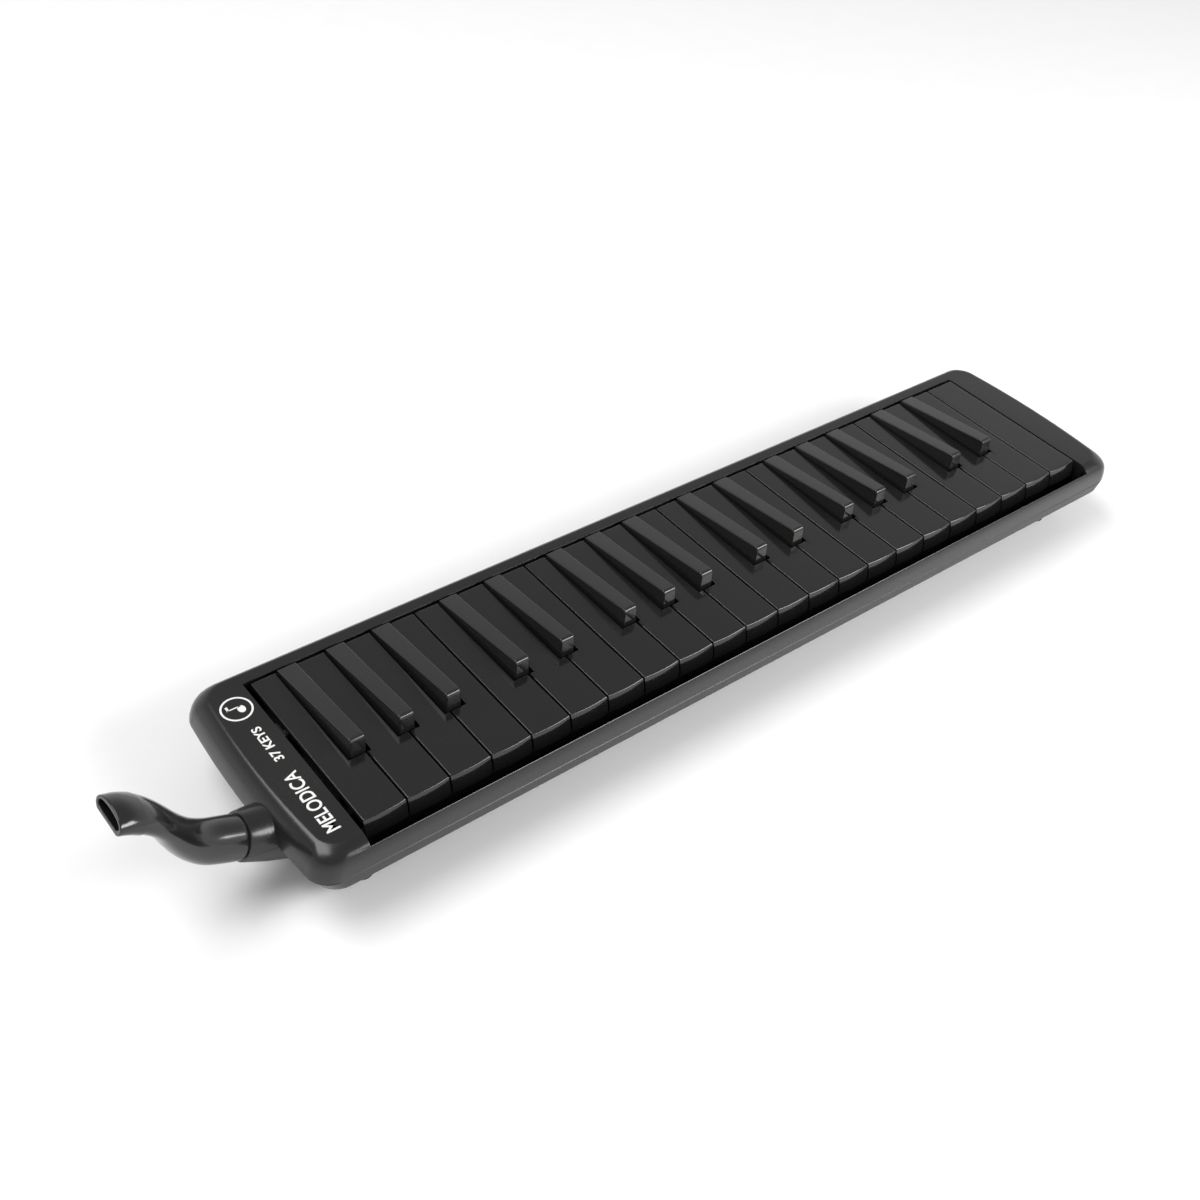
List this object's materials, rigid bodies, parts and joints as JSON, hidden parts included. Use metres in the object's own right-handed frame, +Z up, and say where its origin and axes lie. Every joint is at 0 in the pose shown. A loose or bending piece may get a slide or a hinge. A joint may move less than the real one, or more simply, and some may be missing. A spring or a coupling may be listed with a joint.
{
  "type": "melodica",
  "caption": "Keyboard wind instrument with a slim moulded case, hinged piano keys, free reeds and a curved plug-in mouthpiece.",
  "frame": {"origin": "centre of the bounding box in plan, on the plane under the feet", "axes": "+X along the case from the mouthpiece end (bass) to the treble end, +Y from the key fronts to the rear, +Z up out of the keyboard"},
  "size_m": [0.539, 0.1084, 0.0764],
  "materials": {
    "white_key_plastic": "glossy black moulded plastic",
    "black_key_plastic": "glossy black moulded plastic",
    "case_plastic": "glossy black moulded plastic",
    "mouthpiece_plastic": "glossy black moulded plastic",
    "chamber_plastic": "matte black moulded plastic",
    "cover_sheet": "rolled sheet",
    "seal_rubber": "soft rubber",
    "reed_brass": "punched brass",
    "tongue_bronze": "rolled bronze strip",
    "rivet_brass": "headed brass",
    "steel": "drawn rod",
    "spring_steel": "tempered spring steel",
    "felt": "pressed wool felt",
    "button_plastic": "matte black plastic",
    "foot_rubber": "moulded rubber",
    "screw_steel": "blackened steel"
  },
  "bodies": {
    "case": {"upper_case": "case_plastic", "lower_case": "case_plastic", "air_chamber": "chamber_plastic", "chamber_cover": "cover_sheet", "chamber_gasket": "seal_rubber", "reed_plate_bass": "reed_brass", "reed_plate_treble": "reed_brass", "reed_tongues": "tongue_bronze", "reed_rivets": "rivet_brass", "key_axle": "steel", "key_spring_comb": "spring_steel", "key_stop_felt": "felt", "inlet_socket": "chamber_plastic", "inlet_seal": "seal_rubber", "drain_spring": "spring_steel", "rubber_feet": "foot_rubber", "case_screws": "screw_steel", "chamber_screws": "screw_steel"},
    "seal_ring": {"mouthpiece_seal": "seal_rubber"},
    "mouthpiece": {"mouthpiece": "mouthpiece_plastic"},
    "white_key_01_lever": {"white_key_01": "white_key_plastic"},
    "white_key_02_lever": {"white_key_02": "white_key_plastic"},
    "white_key_03_lever": {"white_key_03": "white_key_plastic"},
    "white_key_04_lever": {"white_key_04": "white_key_plastic"},
    "white_key_05_lever": {"white_key_05": "white_key_plastic"},
    "white_key_06_lever": {"white_key_06": "white_key_plastic"},
    "white_key_07_lever": {"white_key_07": "white_key_plastic"},
    "white_key_08_lever": {"white_key_08": "white_key_plastic"},
    "white_key_09_lever": {"white_key_09": "white_key_plastic"},
    "white_key_10_lever": {"white_key_10": "white_key_plastic"},
    "white_key_11_lever": {"white_key_11": "white_key_plastic"},
    "white_key_12_lever": {"white_key_12": "white_key_plastic"},
    "white_key_13_lever": {"white_key_13": "white_key_plastic"},
    "white_key_14_lever": {"white_key_14": "white_key_plastic"},
    "white_key_15_lever": {"white_key_15": "white_key_plastic"},
    "white_key_16_lever": {"white_key_16": "white_key_plastic"},
    "white_key_17_lever": {"white_key_17": "white_key_plastic"},
    "white_key_18_lever": {"white_key_18": "white_key_plastic"},
    "white_key_19_lever": {"white_key_19": "white_key_plastic"},
    "white_key_20_lever": {"white_key_20": "white_key_plastic"},
    "white_key_21_lever": {"white_key_21": "white_key_plastic"},
    "white_key_22_lever": {"white_key_22": "white_key_plastic"},
    "black_key_01_lever": {"black_key_01": "black_key_plastic"},
    "black_key_02_lever": {"black_key_02": "black_key_plastic"},
    "black_key_03_lever": {"black_key_03": "black_key_plastic"},
    "black_key_04_lever": {"black_key_04": "black_key_plastic"},
    "black_key_05_lever": {"black_key_05": "black_key_plastic"},
    "black_key_06_lever": {"black_key_06": "black_key_plastic"},
    "black_key_07_lever": {"black_key_07": "black_key_plastic"},
    "black_key_08_lever": {"black_key_08": "black_key_plastic"},
    "black_key_09_lever": {"black_key_09": "black_key_plastic"},
    "black_key_10_lever": {"black_key_10": "black_key_plastic"},
    "black_key_11_lever": {"black_key_11": "black_key_plastic"},
    "black_key_12_lever": {"black_key_12": "black_key_plastic"},
    "black_key_13_lever": {"black_key_13": "black_key_plastic"},
    "black_key_14_lever": {"black_key_14": "black_key_plastic"},
    "black_key_15_lever": {"black_key_15": "black_key_plastic"},
    "drain_plunger": {"drain_button": "button_plastic", "drain_seal": "seal_rubber"}
  },
  "joints": [
    {"name": "mouthpiece_slide", "type": "slide", "parent": "case", "child": "seal_ring", "axis": [-0.9397, 0, 0.342], "range_m": [0, 0.012]},
    {"name": "mouthpiece_turn", "type": "hinge", "parent": "seal_ring", "child": "mouthpiece", "pos_m": [-0.22382, -0.01595, 0.0295], "axis": [-0.9397, 0, 0.342], "continuous": true},
    {"name": "white_key_01_pivot", "type": "hinge", "parent": "case", "child": "white_key_01_lever", "pos_m": [0.02788, 0.01875, 0.031], "axis": [1, 0, 0], "range_deg": [0, 4], "stiffness_Nm_per_rad": 0.26, "springref_deg": -2.64},
    {"name": "white_key_02_pivot", "type": "hinge", "parent": "case", "child": "white_key_02_lever", "pos_m": [0.02788, 0.01875, 0.031], "axis": [1, 0, 0], "range_deg": [0, 4], "stiffness_Nm_per_rad": 0.26, "springref_deg": -2.64},
    {"name": "white_key_03_pivot", "type": "hinge", "parent": "case", "child": "white_key_03_lever", "pos_m": [0.02788, 0.01875, 0.031], "axis": [1, 0, 0], "range_deg": [0, 4], "stiffness_Nm_per_rad": 0.26, "springref_deg": -2.64},
    {"name": "white_key_04_pivot", "type": "hinge", "parent": "case", "child": "white_key_04_lever", "pos_m": [0.02788, 0.01875, 0.031], "axis": [1, 0, 0], "range_deg": [0, 4], "stiffness_Nm_per_rad": 0.26, "springref_deg": -2.64},
    {"name": "white_key_05_pivot", "type": "hinge", "parent": "case", "child": "white_key_05_lever", "pos_m": [0.02788, 0.01875, 0.031], "axis": [1, 0, 0], "range_deg": [0, 4], "stiffness_Nm_per_rad": 0.26, "springref_deg": -2.64},
    {"name": "white_key_06_pivot", "type": "hinge", "parent": "case", "child": "white_key_06_lever", "pos_m": [0.02788, 0.01875, 0.031], "axis": [1, 0, 0], "range_deg": [0, 4], "stiffness_Nm_per_rad": 0.26, "springref_deg": -2.64},
    {"name": "white_key_07_pivot", "type": "hinge", "parent": "case", "child": "white_key_07_lever", "pos_m": [0.02788, 0.01875, 0.031], "axis": [1, 0, 0], "range_deg": [0, 4], "stiffness_Nm_per_rad": 0.26, "springref_deg": -2.64},
    {"name": "white_key_08_pivot", "type": "hinge", "parent": "case", "child": "white_key_08_lever", "pos_m": [0.02788, 0.01875, 0.031], "axis": [1, 0, 0], "range_deg": [0, 4], "stiffness_Nm_per_rad": 0.26, "springref_deg": -2.64},
    {"name": "white_key_09_pivot", "type": "hinge", "parent": "case", "child": "white_key_09_lever", "pos_m": [0.02788, 0.01875, 0.031], "axis": [1, 0, 0], "range_deg": [0, 4], "stiffness_Nm_per_rad": 0.26, "springref_deg": -2.64},
    {"name": "white_key_10_pivot", "type": "hinge", "parent": "case", "child": "white_key_10_lever", "pos_m": [0.02788, 0.01875, 0.031], "axis": [1, 0, 0], "range_deg": [0, 4], "stiffness_Nm_per_rad": 0.26, "springref_deg": -2.64},
    {"name": "white_key_11_pivot", "type": "hinge", "parent": "case", "child": "white_key_11_lever", "pos_m": [0.02788, 0.01875, 0.031], "axis": [1, 0, 0], "range_deg": [0, 4], "stiffness_Nm_per_rad": 0.26, "springref_deg": -2.64},
    {"name": "white_key_12_pivot", "type": "hinge", "parent": "case", "child": "white_key_12_lever", "pos_m": [0.02788, 0.01875, 0.031], "axis": [1, 0, 0], "range_deg": [0, 4], "stiffness_Nm_per_rad": 0.26, "springref_deg": -2.64},
    {"name": "white_key_13_pivot", "type": "hinge", "parent": "case", "child": "white_key_13_lever", "pos_m": [0.02788, 0.01875, 0.031], "axis": [1, 0, 0], "range_deg": [0, 4], "stiffness_Nm_per_rad": 0.26, "springref_deg": -2.64},
    {"name": "white_key_14_pivot", "type": "hinge", "parent": "case", "child": "white_key_14_lever", "pos_m": [0.02788, 0.01875, 0.031], "axis": [1, 0, 0], "range_deg": [0, 4], "stiffness_Nm_per_rad": 0.26, "springref_deg": -2.64},
    {"name": "white_key_15_pivot", "type": "hinge", "parent": "case", "child": "white_key_15_lever", "pos_m": [0.02788, 0.01875, 0.031], "axis": [1, 0, 0], "range_deg": [0, 4], "stiffness_Nm_per_rad": 0.26, "springref_deg": -2.64},
    {"name": "white_key_16_pivot", "type": "hinge", "parent": "case", "child": "white_key_16_lever", "pos_m": [0.02788, 0.01875, 0.031], "axis": [1, 0, 0], "range_deg": [0, 4], "stiffness_Nm_per_rad": 0.26, "springref_deg": -2.64},
    {"name": "white_key_17_pivot", "type": "hinge", "parent": "case", "child": "white_key_17_lever", "pos_m": [0.02788, 0.01875, 0.031], "axis": [1, 0, 0], "range_deg": [0, 4], "stiffness_Nm_per_rad": 0.26, "springref_deg": -2.64},
    {"name": "white_key_18_pivot", "type": "hinge", "parent": "case", "child": "white_key_18_lever", "pos_m": [0.02788, 0.01875, 0.031], "axis": [1, 0, 0], "range_deg": [0, 4], "stiffness_Nm_per_rad": 0.26, "springref_deg": -2.64},
    {"name": "white_key_19_pivot", "type": "hinge", "parent": "case", "child": "white_key_19_lever", "pos_m": [0.02788, 0.01875, 0.031], "axis": [1, 0, 0], "range_deg": [0, 4], "stiffness_Nm_per_rad": 0.26, "springref_deg": -2.64},
    {"name": "white_key_20_pivot", "type": "hinge", "parent": "case", "child": "white_key_20_lever", "pos_m": [0.02788, 0.01875, 0.031], "axis": [1, 0, 0], "range_deg": [0, 4], "stiffness_Nm_per_rad": 0.26, "springref_deg": -2.64},
    {"name": "white_key_21_pivot", "type": "hinge", "parent": "case", "child": "white_key_21_lever", "pos_m": [0.02788, 0.01875, 0.031], "axis": [1, 0, 0], "range_deg": [0, 4], "stiffness_Nm_per_rad": 0.26, "springref_deg": -2.64},
    {"name": "white_key_22_pivot", "type": "hinge", "parent": "case", "child": "white_key_22_lever", "pos_m": [0.02788, 0.01875, 0.031], "axis": [1, 0, 0], "range_deg": [0, 4], "stiffness_Nm_per_rad": 0.26, "springref_deg": -2.64},
    {"name": "black_key_01_pivot", "type": "hinge", "parent": "case", "child": "black_key_01_lever", "pos_m": [0.02788, 0.01875, 0.031], "axis": [1, 0, 0], "range_deg": [0, 4.6], "stiffness_Nm_per_rad": 0.26, "springref_deg": -2.64},
    {"name": "black_key_02_pivot", "type": "hinge", "parent": "case", "child": "black_key_02_lever", "pos_m": [0.02788, 0.01875, 0.031], "axis": [1, 0, 0], "range_deg": [0, 4.6], "stiffness_Nm_per_rad": 0.26, "springref_deg": -2.64},
    {"name": "black_key_03_pivot", "type": "hinge", "parent": "case", "child": "black_key_03_lever", "pos_m": [0.02788, 0.01875, 0.031], "axis": [1, 0, 0], "range_deg": [0, 4.6], "stiffness_Nm_per_rad": 0.26, "springref_deg": -2.64},
    {"name": "black_key_04_pivot", "type": "hinge", "parent": "case", "child": "black_key_04_lever", "pos_m": [0.02788, 0.01875, 0.031], "axis": [1, 0, 0], "range_deg": [0, 4.6], "stiffness_Nm_per_rad": 0.26, "springref_deg": -2.64},
    {"name": "black_key_05_pivot", "type": "hinge", "parent": "case", "child": "black_key_05_lever", "pos_m": [0.02788, 0.01875, 0.031], "axis": [1, 0, 0], "range_deg": [0, 4.6], "stiffness_Nm_per_rad": 0.26, "springref_deg": -2.64},
    {"name": "black_key_06_pivot", "type": "hinge", "parent": "case", "child": "black_key_06_lever", "pos_m": [0.02788, 0.01875, 0.031], "axis": [1, 0, 0], "range_deg": [0, 4.6], "stiffness_Nm_per_rad": 0.26, "springref_deg": -2.64},
    {"name": "black_key_07_pivot", "type": "hinge", "parent": "case", "child": "black_key_07_lever", "pos_m": [0.02788, 0.01875, 0.031], "axis": [1, 0, 0], "range_deg": [0, 4.6], "stiffness_Nm_per_rad": 0.26, "springref_deg": -2.64},
    {"name": "black_key_08_pivot", "type": "hinge", "parent": "case", "child": "black_key_08_lever", "pos_m": [0.02788, 0.01875, 0.031], "axis": [1, 0, 0], "range_deg": [0, 4.6], "stiffness_Nm_per_rad": 0.26, "springref_deg": -2.64},
    {"name": "black_key_09_pivot", "type": "hinge", "parent": "case", "child": "black_key_09_lever", "pos_m": [0.02788, 0.01875, 0.031], "axis": [1, 0, 0], "range_deg": [0, 4.6], "stiffness_Nm_per_rad": 0.26, "springref_deg": -2.64},
    {"name": "black_key_10_pivot", "type": "hinge", "parent": "case", "child": "black_key_10_lever", "pos_m": [0.02788, 0.01875, 0.031], "axis": [1, 0, 0], "range_deg": [0, 4.6], "stiffness_Nm_per_rad": 0.26, "springref_deg": -2.64},
    {"name": "black_key_11_pivot", "type": "hinge", "parent": "case", "child": "black_key_11_lever", "pos_m": [0.02788, 0.01875, 0.031], "axis": [1, 0, 0], "range_deg": [0, 4.6], "stiffness_Nm_per_rad": 0.26, "springref_deg": -2.64},
    {"name": "black_key_12_pivot", "type": "hinge", "parent": "case", "child": "black_key_12_lever", "pos_m": [0.02788, 0.01875, 0.031], "axis": [1, 0, 0], "range_deg": [0, 4.6], "stiffness_Nm_per_rad": 0.26, "springref_deg": -2.64},
    {"name": "black_key_13_pivot", "type": "hinge", "parent": "case", "child": "black_key_13_lever", "pos_m": [0.02788, 0.01875, 0.031], "axis": [1, 0, 0], "range_deg": [0, 4.6], "stiffness_Nm_per_rad": 0.26, "springref_deg": -2.64},
    {"name": "black_key_14_pivot", "type": "hinge", "parent": "case", "child": "black_key_14_lever", "pos_m": [0.02788, 0.01875, 0.031], "axis": [1, 0, 0], "range_deg": [0, 4.6], "stiffness_Nm_per_rad": 0.26, "springref_deg": -2.64},
    {"name": "black_key_15_pivot", "type": "hinge", "parent": "case", "child": "black_key_15_lever", "pos_m": [0.02788, 0.01875, 0.031], "axis": [1, 0, 0], "range_deg": [0, 4.6], "stiffness_Nm_per_rad": 0.26, "springref_deg": -2.64},
    {"name": "drain_press", "type": "slide", "parent": "case", "child": "drain_plunger", "axis": [0, 0, 1], "range_m": [0, 0.002], "stiffness_N_per_m": 300, "springref_m": -0.003, "deforming": ["drain_spring"]}
  ]
}
